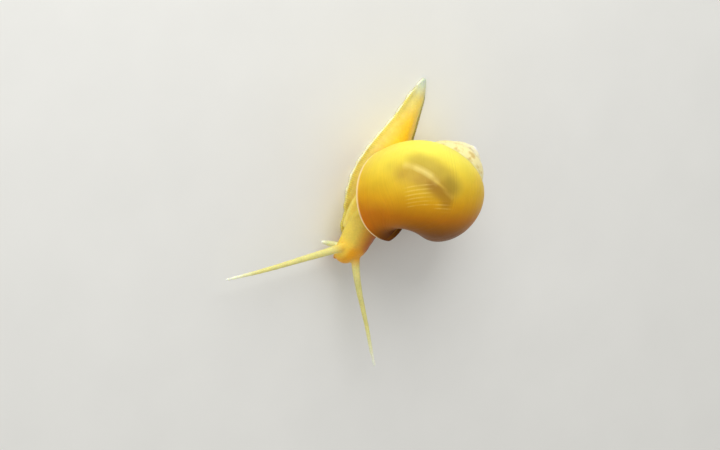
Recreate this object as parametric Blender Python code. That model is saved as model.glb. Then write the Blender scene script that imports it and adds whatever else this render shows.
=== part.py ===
# Apple snail, a life-size still model, crawling with its head towards -Y and its left side towards +X.
# Metres, +Z up. The origin is the middle of the flat sole.

import math

import bmesh
import bpy
from mathutils import Matrix, Vector

MM = 0.001
GAP = 0.3 * MM  # kept between two pieces that touch

# Shell: a tube that grows along a spiral round the line from the apex to the navel.
# Lengths are shares of SPIRAL_SCALE and hold at the lip.
SPIRAL_SCALE = 15.93 * MM
WHORL_GROWTH = 1.956  # growth of the tube in its last full turn
SPIRE_BLUNTNESS = 0.1007  # early whorls are larger than an even growth would make them
TUBE_OFFSET = 0.294  # middle of the tube from the shell's axis
TUBE_DROP = 1.337  # middle of the tube below the spiral's origin, along the axis
TUBE_HALF_WIDTH = 0.5432
TUBE_HALF_HEIGHT = 0.743
TUBE_LEAN = 0.025  # radians, the tall section leans outwards
LIP_SLANT = -0.256  # radians between the upper and the lower end of the lip
SLANT_REACH = 1.5  # radians before the lip over which that slant builds up
TURNS = 2.45
NUCLEUS_TURNS = 0.3  # the first part of the spire, closed like a ball
NUCLEUS_STEPS = 7
NUCLEUS_POINT = 0.003  # square of the first section's share of a full one
NAVEL_RADIUS = 0.035
NAVEL_CORE_RADIUS = 0.05
NAVEL_CORE_TOP = -0.3
NAVEL_CORE_FOOT = -1.3
NAVEL_SIDES = 16
RINGS_PER_TURN = 28
LENGTH_TURNS = 0.5  # the coil is joined from lengths of this many turns
SHELL_SIDES = 32
SHELL_WALL = 0.75 * MM
LAST_TURNS = 0.26  # stretch behind the lip that is modelled hollow
MANTLE_TURNS = 0.2  # where the soft body inside that stretch starts
RECESS_TURNS = 0.03  # how far behind the lip the soft body fills the mouth
LIP_FLARE = 0.09  # spread of the inner lip beside the navel
FLARE_PLACE = math.radians(215.0)  # place of that spread round the tube
FLARE_REACH = math.radians(32.0)
FLARE_TURNS = 0.13
GAP_TURNS = 0.0035  # turn that moves the lip on by one gap
SPIRAL_ORIGIN = Vector((14.88, 11.06, 5.82)) * MM
AXIS_TURN = math.radians(30.6)  # the apex points back and this far to the snail's left
AXIS_DIP = math.radians(12.4)  # and this far below level
LIP_TURN = math.radians(151.5)  # turn of the lip about the axis

# Foot, in millimetres. Each pair is the distance from the tail's tip and the size there.
TAIL_REACH = 17.3
FOOT_LENGTH = 34.8
FOOT_HALF_WIDTHS = (
    (0.0, 0.3),
    (1.4, 1.05),
    (2.8, 1.7),
    (4.4, 2.2),
    (8.7, 3.1),
    (13.7, 4.4),
    (18.8, 5.4),
    (23.3, 5.75),
    (25.6, 5.5),
    (27.7, 4.95),
    (29.8, 4.15),
    (31.5, 3.65),
    (32.7, 3.3),
    (33.6, 2.85),
    (34.3, 2.2),
    (34.8, 1.3),
)
FOOT_HEIGHTS = (
    (0.0, 0.6),
    (3.0, 1.05),
    (8.5, 1.8),
    (13.5, 2.45),
    (18.5, 2.7),
    (24.5, 2.4),
    (30.5, 2.0),
    (33.4, 1.5),
    (34.8, 0.75),
)
FOOT_MIDDLES = (
    (0.0, 0.15),
    (2.0, 0.35),
    (5.0, 0.45),
    (10.0, 0.4),
    (13.0, 0.2),
    (16.0, -0.1),
    (20.5, -0.35),
    (27.5, 0.0),
    (34.8, 0.4),
)
NOTCH_REACH = 30.1  # notch in the margin behind the foot's front lobe
NOTCH_DEPTH = 0.35
NOTCH_WIDTH = 0.5
MARGIN_THICKNESS = 0.6
SOLE_INSET = 0.985  # half width of the flat sole as a share of the foot's
BRIM = 0.9  # width of the thin margin round the foot
BRIM_SHARE = 0.3  # most of the half width that the margin takes
FRILL = 0.12  # depth of the waves along that margin
FRILL_WAVES = 11
FRILL_SHIFT = 0.7  # radians by which the waves on each side run ahead or behind
BACK_ROUNDNESS = 1.15  # over 1, the back is steeper above the margin
FOOT_STATIONS = 52
STATION_EASING = 0.09  # how far the stations crowd towards both ends of the foot
FOOT_SIDES = 22

# Neck and head, in millimetres: middle of a section, half width, half height, and its lean in degrees.
NECK = (
    ((0.0, -8.5, 6.2), 3.4, 3.2, 0),
    ((-0.8, -12.5, 4.9), 3.35, 3.1, 4),
    ((-1.05, -15.5, 4.5), 3.25, 2.8, 4),
    ((-1.3, -18.2, 4.5), 3.05, 2.4, 8),
    ((-1.5, -19.5, 4.2), 2.7, 2.2, 20),
    ((-1.45, -20.3, 3.6), 2.2, 1.9, 42),
    ((-1.4, -20.7, 2.8), 1.8, 1.65, 62),
    ((-1.4, -20.75, 2.0), 1.5, 1.2, 76),
    ((-1.4, -20.75, 1.4), 1.2, 0.95, 84),
    ((-1.4, -20.7, 1.0), 0.75, 0.6, 88),
)
NECK_STATIONS = 30
NECK_SIDES = 22

# Mouth, in millimetres: an upright slit between two lips on the lower front of the snout.
MOUTH_MIDDLE = Vector((-1.4, -21.75, 1.85))
MOUTH_LEAN = math.radians(-20)
SLIT_SIZES = (0.15, 0.5, 0.75)
LIP_SIZES = (0.45, 0.42, 0.72)
LIP_OFFSET = 0.42
LIP_SINK = 0.2
MOUTH_SIDES = 12

# Column of flesh between the foot and the mouth of the shell, in millimetres.
COLUMN_FOOT_MIDDLE = Vector((-0.2, -5.4, 1.6))
COLUMN_HALF_WIDTH = 3.9
COLUMN_HALF_LENGTH = 6.6
COLUMN_MOUTH_SHARE = 0.86  # size of the column in the mouth of the shell, as a share of the mouth
COLUMN_STEPS = 7

# Folds of skin on both sides of the neck, in millimetres: route, root radius and tip radius.
NECK_FOLDS = {
    "right": (((-2.6, -8.6, 8.0), (-3.9, -10.8, 6.6), (-3.95, -13.0, 5.2), (-3.3, -15.2, 4.2)), 0.9, 0.5),
    "left": (((2.4, -8.6, 7.6), (2.75, -10.8, 6.2), (2.5, -13.2, 4.9), (1.5, -15.4, 4.1)), 1.1, 0.5),
}
NECK_FOLD_STEPS = 8

# Feelers, in millimetres: route, root radius and tip radius.
TENTACLES = {
    "right": (
        (
            (-2.4, -18.2, 4.9),
            (-5.1, -20.3, 5.3),
            (-8.1, -22.3, 5.7),
            (-12.0, -25.0, 6.0),
            (-15.8, -27.7, 6.2),
            (-19.2, -30.15, 6.2),
            (-22.4, -32.4, 6.0),
            (-25.5, -34.55, 5.8),
        ),
        0.95,
        0.27,
    ),
    "left": (
        (
            (-0.6, -18.6, 5.0),
            (0.3, -20.8, 5.5),
            (1.5, -23.0, 6.0),
            (2.7, -24.6, 6.2),
            (4.3, -26.5, 6.3),
            (6.5, -28.85, 6.3),
            (9.2, -31.65, 6.2),
            (12.3, -35.1, 6.1),
            (14.85, -37.65, 6.0),
        ),
        0.95,
        0.27,
    ),
}
TENTACLE_CUTS = (0.19, 0.42, 0.70)  # shares of the route where the root and the three lengths part
TENTACLE_STEPS = 26
PALPS = {
    "right": (
        ((-1.8, -20.2, 2.2), (-3.3, -19.65, 2.3), (-5.2, -19.8, 2.45), (-7.0, -20.15, 2.5)), 1.15, 0.3,
    ),
    "left": (((-1.5, -20.8, 2.2), (0.2, -21.1, 2.0), (1.4, -20.95, 1.9), (2.6, -20.4, 2.0)), 0.8, 0.3),
}
PALP_CUT = 0.49
PALP_STEPS = 10
EYE_STALKS = {
    "right": (((-2.6, -19.6, 4.0), (-3.75, -19.95, 4.05), (-4.55, -20.5, 3.85)), 0.55, 0.42),
    "left": (((-0.4, -19.6, 4.0), (0.75, -19.95, 4.05), (1.55, -20.5, 3.85)), 0.55, 0.42),
}
EYE_STALK_CUT = 0.64
EYE_STALK_STEPS = 6
EYE_RADIUS = 0.42
EYE_SIDES = 14
FEELER_BEVEL = 3
FEELER_TAPER = 0.8  # under 1, a feeler thins faster near its root
FEELER_TIP = 0.6  # the last section's share of the tip radius
CUT_SPREAD = 1.5  # radius of a cut across a feeler, as a share of the radius there

# Trapdoor of horn, in millimetres. It lies under the shell, on the left of the foot's back.
DOOR_MIDDLE = Vector((4.2, 2.8, 2.2))
DOOR_LEAN = math.radians(-14)  # its back edge is the lower one
DOOR_HALF_LENGTH = 2.3
DOOR_HALF_WIDTH = 2.6
DOOR_THICKNESS = 0.6
DOOR_DOME = 0.35  # how far its middle stands above its edge
DOOR_SIDES = 28
DOOR_RINGS = 3
DOOR_COLUMN_GAP = Vector((0.2, 0.25, 0.0))

# Places where the body is parted, in millimetres.
FOOT_TOP = 3.0  # height of the slanted cut between the foot and what stands on it
FOOT_TOP_RISE = 0.05
FOOT_TOP_ENDS = (-20.0, 8.0)
FOOT_CUTS = (-7.5, 7.6)
NECK_CUTS = (-12.6, -16.6)
CUT_FOOT = -1.0
CUT_HEIGHT = 9.0
CUT_WIDTH = 18.0
SNOUT_CUT_MIDDLE = Vector((-1.5, -20.3, 3.3))
SNOUT_CUT_LEAN = math.radians(42)
SNOUT_CUT_WIDTH = 5.2
SNOUT_CUT_HEIGHT = 6.0
DISC_SIDES = 24
ROUTE_STEPS = 100  # places along a route at which it can be cut or named


def clear_scene():
    for old in list(bpy.data.objects):
        bpy.data.objects.remove(old)


def make_material(name, colour, roughness, metallic=0.0):
    material = bpy.data.materials.new(name)
    material.use_nodes = True
    shader = material.node_tree.nodes["Principled BSDF"]
    shader.inputs["Base Color"].default_value = (*colour, 1.0)
    shader.inputs["Roughness"].default_value = roughness
    shader.inputs["Metallic"].default_value = metallic
    return material


def finish_mesh(name, build):
    """Mesh object from a bmesh, linked to the scene."""
    mesh = bpy.data.meshes.new(name)
    build.to_mesh(mesh)
    build.free()
    made = bpy.data.objects.new(name, mesh)
    bpy.context.scene.collection.objects.link(made)
    return made


def read_curve(pairs, where):
    """Smooth value between (place, value) pairs, by a cubic through neighbouring pairs."""
    places = [pair[0] for pair in pairs]
    values = [pair[1] for pair in pairs]
    last = len(pairs) - 1
    where = min(max(where, places[0]), places[last])
    span = max(i for i in range(last) if places[i] <= where)
    width = places[span + 1] - places[span]

    def slope(i):
        low, high = max(i - 1, 0), min(i + 1, last)
        return (values[high] - values[low]) / (places[high] - places[low])

    t = (where - places[span]) / width
    start, end = values[span], values[span + 1]
    return (
        start * (2 * t**3 - 3 * t**2 + 1)
        + end * (3 * t**2 - 2 * t**3)
        + slope(span) * width * (t**3 - 2 * t**2 + t)
        + slope(span + 1) * width * (t**3 - t**2)
    )


def loft(name, rings):
    """Closed mesh object through rings of equally many points, with a fan over each end."""
    skin = bmesh.new()
    loops = [[skin.verts.new(point) for point in ring] for ring in rings]
    count = len(loops[0])
    for low, high in zip(loops, loops[1:]):
        for i in range(count):
            j = (i + 1) % count
            skin.faces.new((low[i], low[j], high[j], high[i]))
    caps = [skin.faces.new(loops[0]), skin.faces.new(loops[-1])]
    bmesh.ops.poke(skin, faces=caps)
    bmesh.ops.triangulate(skin, faces=skin.faces, quad_method="FIXED")
    bmesh.ops.recalc_face_normals(skin, faces=skin.faces)
    return finish_mesh(name, skin)


def boolean(target, tools, operation):
    """Applies one Boolean with a collection of closed meshes, and removes them."""
    kit = bpy.data.collections.new("tools")
    bpy.context.scene.collection.children.link(kit)
    for tool in tools:
        bpy.context.scene.collection.objects.unlink(tool)
        kit.objects.link(tool)
    step = target.modifiers.new("join", "BOOLEAN")
    step.operation = operation
    step.solver = "MANIFOLD"
    step.operand_type = "COLLECTION"
    step.collection = kit
    graph = bpy.context.evaluated_depsgraph_get()
    result = bpy.data.meshes.new_from_object(target.evaluated_get(graph))
    target.modifiers.clear()
    target.data = result
    for tool in tools:
        bpy.data.objects.remove(tool)
    bpy.data.collections.remove(kit)
    return target


def spiral_size(turn):
    return WHORL_GROWTH**turn * math.exp(SPIRE_BLUNTNESS * turn * turn)


def shell_pose():
    """The spiral's own frame has its axis along +Z, the apex up, and the lip at angle 0."""
    return (
        Matrix.Translation(SPIRAL_ORIGIN)
        @ Matrix.Rotation(-AXIS_TURN, 4, "Z")
        @ Matrix.Rotation(-(math.pi / 2 + AXIS_DIP), 4, "X")
        @ Matrix.Rotation(LIP_TURN, 4, "Z")
        @ Matrix.Scale(SPIRAL_SCALE, 4)
    )


def tube_ring(turn, swell=0.0, roundness=1.0):
    """Section of the shell's tube at this turn before the lip, swollen evenly by a length."""
    pose = shell_pose()
    angle = turn * math.tau
    slant = LIP_SLANT * min(max((angle + SLANT_REACH) / SLANT_REACH, 0.0), 1.0)
    thicker = swell / (SPIRAL_SCALE * spiral_size(turn))
    width = TUBE_HALF_WIDTH * roundness + thicker
    rise = TUBE_HALF_HEIGHT * roundness + thicker
    ring = []
    for i in range(SHELL_SIDES):
        around = math.tau * i / SHELL_SIDES
        across = width * math.cos(around)
        along = rise * math.sin(around)
        outward = across * math.cos(TUBE_LEAN) - along * math.sin(TUBE_LEAN)
        upward = across * math.sin(TUBE_LEAN) + along * math.cos(TUBE_LEAN)
        slanted = angle - slant * upward / TUBE_HALF_HEIGHT
        size = spiral_size(slanted / math.tau)
        spread = LIP_FLARE * math.exp(-(((around - FLARE_PLACE) / FLARE_REACH) ** 2))
        spread *= max(1.0 - abs(turn) / FLARE_TURNS, 0.0)
        reach = max(TUBE_OFFSET + outward, NAVEL_RADIUS - spread - thicker) * size
        height = (upward - TUBE_DROP) * size
        ring.append(pose @ Vector((reach * math.cos(slanted), -reach * math.sin(slanted), height)))
    return ring


def tube_length(name, start, end, swell=0.0):
    """Tube of the shell between two turns before the lip."""
    steps = max(round((end - start) * RINGS_PER_TURN), 1)
    return loft(name, [tube_ring(start + (end - start) * i / steps, swell) for i in range(steps + 1)])


def spire_nucleus(name, swell):
    """Ball-shaped start of the spire."""
    rings = []
    for i in range(NUCLEUS_STEPS + 1):
        share = i / NUCLEUS_STEPS
        roundness = math.sqrt(max(1 - (1 - share) ** 2, NUCLEUS_POINT))
        rings.append(tube_ring(-TURNS - NUCLEUS_TURNS * (1 - share), swell, roundness))
    return loft(name, rings)


def navel_core(name):
    """Solid core along the axis, so that the navel is a shallow pit."""
    core = bmesh.new()
    middle = Matrix.Translation((0, 0, (NAVEL_CORE_TOP + NAVEL_CORE_FOOT) / 2))
    bmesh.ops.create_cone(
        core,
        cap_ends=True,
        segments=NAVEL_SIDES,
        radius1=NAVEL_CORE_RADIUS,
        radius2=NAVEL_CORE_RADIUS,
        depth=NAVEL_CORE_TOP - NAVEL_CORE_FOOT,
        matrix=shell_pose() @ middle,
    )
    return finish_mesh(name, core)


def early_whorls(name, swell, end):
    """Shell from its nucleus up to a turn before the lip, as one solid."""
    lengths = [navel_core("core")]
    start = -TURNS
    while start < end:
        stop = min(start + LENGTH_TURNS, end)
        lengths.append(tube_length("length", start - 1 / RINGS_PER_TURN, stop, swell))
        start = stop
    return boolean(spire_nucleus(name, swell), lengths, "UNION")


def make_shell():
    """Hollow stretch behind the lip, joined to the earlier whorls, which stay whole."""
    shell = tube_length("shell", -LAST_TURNS, 0.0)
    hollow = tube_length("hollow", -MANTLE_TURNS, 1 / RINGS_PER_TURN, -SHELL_WALL)
    boolean(shell, [hollow], "DIFFERENCE")
    return boolean(shell, [early_whorls("early", 0.0, 1 / RINGS_PER_TURN - LAST_TURNS)], "UNION")


def shell_room():
    """The shell's whole outer form with the gap all round, which the body keeps clear of."""
    room = early_whorls("room", GAP, 0.0)
    boolean(room, [tube_length("lip", -1 / RINGS_PER_TURN, GAP_TURNS, GAP)], "UNION")
    return keep_largest(room)


def ring_facing(ring):
    """Direction in which a ring's tube runs on."""
    middle = sum(ring, Vector()) / len(ring)
    facing = Vector()
    for point, following in zip(ring, ring[1:] + ring[:1]):
        facing += (point - middle).cross(following - middle)
    return facing.normalized()


def moved(ring, step):
    return [point + step for point in ring]


def make_mantle():
    """Soft body inside the mouth of the shell, a little behind the lip."""
    swell = -SHELL_WALL - GAP
    length = MANTLE_TURNS - RECESS_TURNS
    steps = round(length * RINGS_PER_TURN)
    rings = [tube_ring(length * i / steps - MANTLE_TURNS, swell) for i in range(steps + 1)]
    rings[0] = moved(rings[0], ring_facing(rings[0]) * GAP)
    mantle = loft("mantle", rings)
    return boolean(mantle, [early_whorls("early", GAP, 1.5 / RINGS_PER_TURN - LAST_TURNS)], "DIFFERENCE")


def make_column():
    """Flesh from the mouth of the shell down into the back of the foot."""
    mouth = tube_ring(-RECESS_TURNS, -SHELL_WALL - GAP)
    middle = sum(mouth, Vector()) / len(mouth)
    mouth = [middle.lerp(point, COLUMN_MOUTH_SHARE) for point in mouth]
    mouth = moved(mouth, ring_facing(mouth) * GAP)
    foot = []
    for point in mouth:
        angle = math.atan2(point.y - middle.y, point.x - middle.x)
        oval = Vector((COLUMN_HALF_WIDTH * math.cos(angle), COLUMN_HALF_LENGTH * math.sin(angle), 0.0))
        foot.append((COLUMN_FOOT_MIDDLE + oval) * MM)
    rings = []
    for i in range(COLUMN_STEPS + 1):
        share = i / COLUMN_STEPS
        narrowing = math.sin(math.pi / 2 * share)
        ring = []
        for high, low in zip(mouth, foot):
            point = high.lerp(low, narrowing)
            point.z = high.z + (low.z - high.z) * share
            ring.append(point)
        rings.append(ring)
    column = loft("column", rings)
    return boolean(column, [early_whorls("early", GAP, 1 / RINGS_PER_TURN - LAST_TURNS)], "DIFFERENCE")


def foot_back(reach, x):
    """Height of the foot's back at a distance from the tail's tip and from the foot's middle line."""
    half = read_curve(FOOT_HALF_WIDTHS, reach)
    height = read_curve(FOOT_HEIGHTS, reach)
    margin = min(MARGIN_THICKNESS, height)
    brim = min(BRIM, BRIM_SHARE * half)
    inward = max(half - abs(x) - brim, 0.0) / (half - brim)
    return margin + (height - margin) * math.sin(math.pi / 2 * min(inward, 1.0)) ** BACK_ROUNDNESS


def foot_ring(reach):
    """Section of the foot: a rounded back above, running out to a thin margin, and the flat sole."""
    middle = read_curve(FOOT_MIDDLES, reach)
    half = read_curve(FOOT_HALF_WIDTHS, reach)
    notch = NOTCH_DEPTH * math.exp(-(((reach - NOTCH_REACH) / NOTCH_WIDTH) ** 2))
    back = []
    sole = []
    for i in range(FOOT_SIDES):
        x = half * math.cos(math.pi * i / (FOOT_SIDES - 1))
        phase = math.tau * FRILL_WAVES * reach / FOOT_LENGTH + math.copysign(FRILL_SHIFT, x)
        wave = FRILL * math.sin(phase) * (x / half) ** 5 - notch * (x / half) ** 3
        back.append(Vector((middle + x + wave, TAIL_REACH - reach, foot_back(reach, x))) * MM)
        sole.append(Vector((middle + (x + wave) * SOLE_INSET, TAIL_REACH - reach, 0.0)) * MM)
    return back + sole[::-1]


def make_foot():
    """Stations stand closer together towards the tip and the front."""
    rings = []
    for i in range(FOOT_STATIONS + 1):
        share = i / FOOT_STATIONS
        eased = share - STATION_EASING * math.sin(math.tau * share)
        rings.append(foot_ring(FOOT_LENGTH * eased))
    return loft("foot", rings)


def make_neck():
    """Neck, head and snout, one smooth body that bends down at the front."""
    places = [[(i, section[0][axis]) for i, section in enumerate(NECK)] for axis in range(3)]
    sizes = [[(i, section[column]) for i, section in enumerate(NECK)] for column in (1, 2, 3)]
    rings = []
    for i in range(NECK_STATIONS + 1):
        where = (len(NECK) - 1) * i / NECK_STATIONS
        middle = Vector([read_curve(pairs, where) for pairs in places])
        half_width, half_height, lean = [read_curve(pairs, where) for pairs in sizes]
        turn = Matrix.Rotation(math.radians(lean), 3, "X")
        ring = []
        for j in range(NECK_SIDES):
            around = math.tau * j / NECK_SIDES
            offset = Vector((half_width * math.cos(around), 0.0, half_height * math.sin(around)))
            ring.append((middle + turn @ offset) * MM)
        rings.append(ring)
    return loft("neck", rings)


def mouth_ball(name, middle, sizes):
    """Stretched ball that lies along the slope of the mouth."""
    ball = bmesh.new()
    place = Matrix.Translation(middle * MM) @ Matrix.Rotation(MOUTH_LEAN, 4, "X")
    place @= Matrix.Diagonal((*(Vector(sizes) * MM), 1.0))
    rings = MOUTH_SIDES // 2 + 2
    bmesh.ops.create_uvsphere(ball, u_segments=MOUTH_SIDES, v_segments=rings, radius=1.0, matrix=place)
    return finish_mesh(name, ball)


def make_lips():
    return [
        mouth_ball("lip", MOUTH_MIDDLE + Vector((side * LIP_OFFSET, LIP_SINK, 0.0)), LIP_SIZES)
        for side in (-1, 1)
    ]


def route_points(route, steps):
    """Points along a smooth curve through the route."""
    coords = [[(place, point[axis]) for place, point in enumerate(route)] for axis in range(3)]
    stops = [(len(route) - 1) * i / steps for i in range(steps + 1)]
    return [Vector([read_curve(pairs, stop) for pairs in coords]) for stop in stops]


def feeler_radius(root_radius, tip_radius, share):
    return root_radius + (tip_radius - root_radius) * share**FEELER_TAPER


def make_feeler(name, route, root_radius, tip_radius, steps):
    """Tapered round tube along a route, made as a curve and turned into a closed mesh."""
    curve = bpy.data.curves.new(name, "CURVE")
    curve.dimensions = "3D"
    curve.bevel_depth = MM
    curve.bevel_resolution = FEELER_BEVEL
    curve.use_fill_caps = True
    spline = curve.splines.new("POLY")
    spline.points.add(steps)
    for i, point in enumerate(route_points(route, steps)):
        spline.points[i].co = (*(point * MM), 1.0)
        spline.points[i].radius = feeler_radius(root_radius, tip_radius, i / steps)
    spline.points[-1].radius *= FEELER_TIP
    guide = bpy.data.objects.new(name, curve)
    bpy.context.scene.collection.objects.link(guide)
    graph = bpy.context.evaluated_depsgraph_get()
    mesh = bpy.data.meshes.new_from_object(guide.evaluated_get(graph))
    bpy.data.objects.remove(guide)
    skin = bmesh.new()
    skin.from_mesh(mesh)
    bmesh.ops.remove_doubles(skin, verts=skin.verts, dist=0.001 * MM)
    bmesh.ops.triangulate(skin, faces=skin.faces)
    bmesh.ops.recalc_face_normals(skin, faces=skin.faces)
    return finish_mesh(name, skin)


def disc_cut(route, root_radius, tip_radius, share):
    """Thin disc across a feeler at a share of its length, as thick as the gap between pieces."""
    radius = feeler_radius(root_radius, tip_radius, share) * CUT_SPREAD
    points = route_points(route, ROUTE_STEPS)
    place = round(ROUTE_STEPS * share)
    ahead = points[place + 2] - points[place - 2]
    disc = bmesh.new()
    bmesh.ops.create_cone(
        disc,
        cap_ends=True,
        segments=DISC_SIDES,
        radius1=radius * MM,
        radius2=radius * MM,
        depth=GAP,
        matrix=Matrix.Translation(points[place] * MM) @ ahead.to_track_quat("Z", "Y").to_matrix().to_4x4(),
    )
    return finish_mesh("disc", disc)


def slab_cut(middle, size, lean=0.0):
    """Thin box; lean turns it about the left-right axis."""
    box = bmesh.new()
    place = Matrix.Translation(Vector(middle) * MM) @ Matrix.Rotation(lean, 4, "X")
    bmesh.ops.create_cube(box, size=1.0, matrix=place @ Matrix.Diagonal((*(Vector(size) * MM), 1.0)))
    return finish_mesh("slab", box)


def foot_top(y):
    return FOOT_TOP + FOOT_TOP_RISE * y


def body_cuts():
    """Thin slabs and discs that part the body into its pieces."""
    gap = GAP / MM
    near, far = FOOT_TOP_ENDS
    half_way = (near + far) / 2
    over_foot = (0, half_way, foot_top(half_way))
    cuts = [slab_cut(over_foot, (CUT_WIDTH, far - near, gap), math.atan(FOOT_TOP_RISE))]
    for y in FOOT_CUTS:
        low, high = CUT_FOOT, foot_top(y)
        cuts.append(slab_cut((0, y, (low + high) / 2), (CUT_WIDTH, gap, high - low)))
    for y in NECK_CUTS:
        low, high = foot_top(y), CUT_HEIGHT
        cuts.append(slab_cut((0, y, (low + high) / 2), (CUT_WIDTH, gap, high - low)))
    cuts.append(slab_cut(SNOUT_CUT_MIDDLE, (SNOUT_CUT_WIDTH, gap, SNOUT_CUT_HEIGHT), SNOUT_CUT_LEAN))
    for feeler in TENTACLES.values():
        for share in TENTACLE_CUTS:
            cuts.append(disc_cut(*feeler, share))
    cuts.extend(disc_cut(*feeler, PALP_CUT) for feeler in PALPS.values())
    cuts.extend(disc_cut(*feeler, EYE_STALK_CUT) for feeler in EYE_STALKS.values())
    return cuts


def body_anchors():
    """A point in or near each piece of the parted body, which gives the piece its name."""
    anchors = {
        "foot_front": (0, -12.0, 0),
        "foot_middle": (0, 0, 0),
        "foot_tail": (0, 15.0, 0),
        "body_column": (-0.2, -4.5, 5.0),
        "neck": (-1.0, -14.5, 7.2),
        "head": (-1.7, -18.8, 7.0),
        "snout": (-1.4, -21.3, 1.0),
    }
    starts = TENTACLE_CUTS
    ends = TENTACLE_CUTS[1:] + (1.0,)
    for side, (route, root_radius, tip_radius) in TENTACLES.items():
        points = route_points(route, ROUTE_STEPS)
        for number, (start, end) in enumerate(zip(starts, ends), 1):
            anchors[f"tentacle_{side}_{number}"] = points[round(ROUTE_STEPS * (start + end) / 2)]
    for side, (route, root_radius, tip_radius) in PALPS.items():
        anchors[f"palp_{side}"] = Vector(route[-1])
    for side, (route, root_radius, tip_radius) in EYE_STALKS.items():
        anchors[f"eye_stalk_{side}"] = Vector(route[-1])
    return {name: Vector(place) * MM for name, place in anchors.items()}


def connected_pieces(mesh):
    """Sets of vertex numbers, one for each connected piece of a mesh."""
    group = list(range(len(mesh.vertices)))

    def root(i):
        while group[i] != i:
            group[i] = group[group[i]]
            i = group[i]
        return i

    for edge in mesh.edges:
        first, second = (root(i) for i in edge.vertices)
        group[first] = second
    pieces = {}
    for i in range(len(group)):
        pieces.setdefault(root(i), set()).add(i)
    return list(pieces.values())


def piece_mesh(mesh, piece, name):
    """Mesh that holds only one connected piece of another."""
    skin = bmesh.new()
    skin.from_mesh(mesh)
    spare = [vert for vert in skin.verts if vert.index not in piece]
    bmesh.ops.delete(skin, geom=spare, context="VERTS")
    kept = bpy.data.meshes.new(name)
    skin.to_mesh(kept)
    skin.free()
    return kept


def keep_largest(obj):
    """Drops every scrap and sealed hollow that a join or a cut has left."""
    pieces = connected_pieces(obj.data)
    largest = max(pieces, key=lambda piece: piece_size(obj.data, piece))
    obj.data = piece_mesh(obj.data, largest, obj.name)
    return obj


def piece_size(mesh, piece):
    """Diagonal of the box round a piece."""
    places = [mesh.vertices[i].co for i in piece]
    low = Vector([min(place[axis] for place in places) for axis in range(3)])
    high = Vector([max(place[axis] for place in places) for axis in range(3)])
    return (high - low).length


def make_body_pieces():
    """Foot, column, neck, head and feelers, joined to one body and then parted by thin cuts."""
    body = boolean(make_foot(), [make_neck()], "UNION")
    boolean(body, [shell_room()], "DIFFERENCE")
    parts = [make_column()]
    kinds = (
        (NECK_FOLDS, NECK_FOLD_STEPS),
        (TENTACLES, TENTACLE_STEPS),
        (PALPS, PALP_STEPS),
        (EYE_STALKS, EYE_STALK_STEPS),
    )
    for kind, steps in kinds:
        for route, root_radius, tip_radius in kind.values():
            parts.append(make_feeler("feeler", route, root_radius, tip_radius, steps))
    boolean(body, parts + make_lips(), "UNION")
    boolean(body, [mouth_ball("slit", MOUTH_MIDDLE, SLIT_SIZES), *body_cuts()], "DIFFERENCE")
    verts = body.data.vertices
    pieces = connected_pieces(body.data)
    made = []
    for name, anchor in body_anchors().items():
        nearest = min(pieces, key=lambda piece: min((verts[i].co - anchor).length for i in piece))
        node = bpy.data.objects.new(name, piece_mesh(body.data, nearest, name))
        bpy.context.scene.collection.objects.link(node)
        made.append(node)
        pieces.remove(nearest)
    bpy.data.objects.remove(body)
    return made


def make_eye(side):
    """Round eye at the end of its stalk."""
    route = EYE_STALKS[side][0]
    outward = (Vector(route[-1]) - Vector(route[-2])).normalized()
    ball = bmesh.new()
    place = Vector(route[-1]) + outward * (GAP / MM + EYE_RADIUS)
    turn = outward.to_track_quat("Z", "Y").to_matrix().to_4x4()
    bmesh.ops.create_uvsphere(
        ball,
        u_segments=EYE_SIDES,
        v_segments=EYE_SIDES // 2 + 2,
        radius=EYE_RADIUS * MM,
        matrix=Matrix.Translation(place * MM) @ turn,
    )
    return finish_mesh(f"eye_{side}", ball)


def make_door():
    """Thin oval plate, a little domed, behind the column."""
    turn = Matrix.Rotation(DOOR_LEAN, 3, "X")

    def door_ring(share, lift):
        ring = []
        for i in range(DOOR_SIDES):
            angle = math.tau * i / DOOR_SIDES
            across = DOOR_HALF_WIDTH * share * math.cos(angle)
            along = DOOR_HALF_LENGTH * share * math.sin(angle)
            ring.append((DOOR_MIDDLE + turn @ Vector((across, along, lift - DOOR_DOME * share**2))) * MM)
        return ring

    shares = [(i + 1) / DOOR_RINGS for i in range(DOOR_RINGS)]
    rings = [door_ring(share, -DOOR_THICKNESS / 2) for share in shares]
    rings += [door_ring(share, DOOR_THICKNESS / 2) for share in reversed(shares)]
    door = loft("operculum", rings)
    raised_foot = make_foot()
    raised_foot.data.transform(Matrix.Translation((0.0, 0.0, GAP)))
    column_room = make_column()
    column_room.data.transform(Matrix.Translation(DOOR_COLUMN_GAP * MM))
    boolean(door, [raised_foot, make_column(), column_room], "DIFFERENCE")
    return boolean(door, [shell_room()], "DIFFERENCE")


def settle(piece, holder, material, home):
    """Gives a piece its material, an origin in its own middle and its place under the holder."""
    corners = [Vector(corner) for corner in piece.bound_box]
    middle = sum(corners, Vector()) / len(corners)
    piece.data.transform(Matrix.Translation(-middle))
    piece.location = middle
    piece.parent = holder
    piece.data.materials.clear()
    piece.data.materials.append(material)
    bpy.context.scene.collection.objects.unlink(piece)
    home.objects.link(piece)


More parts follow.
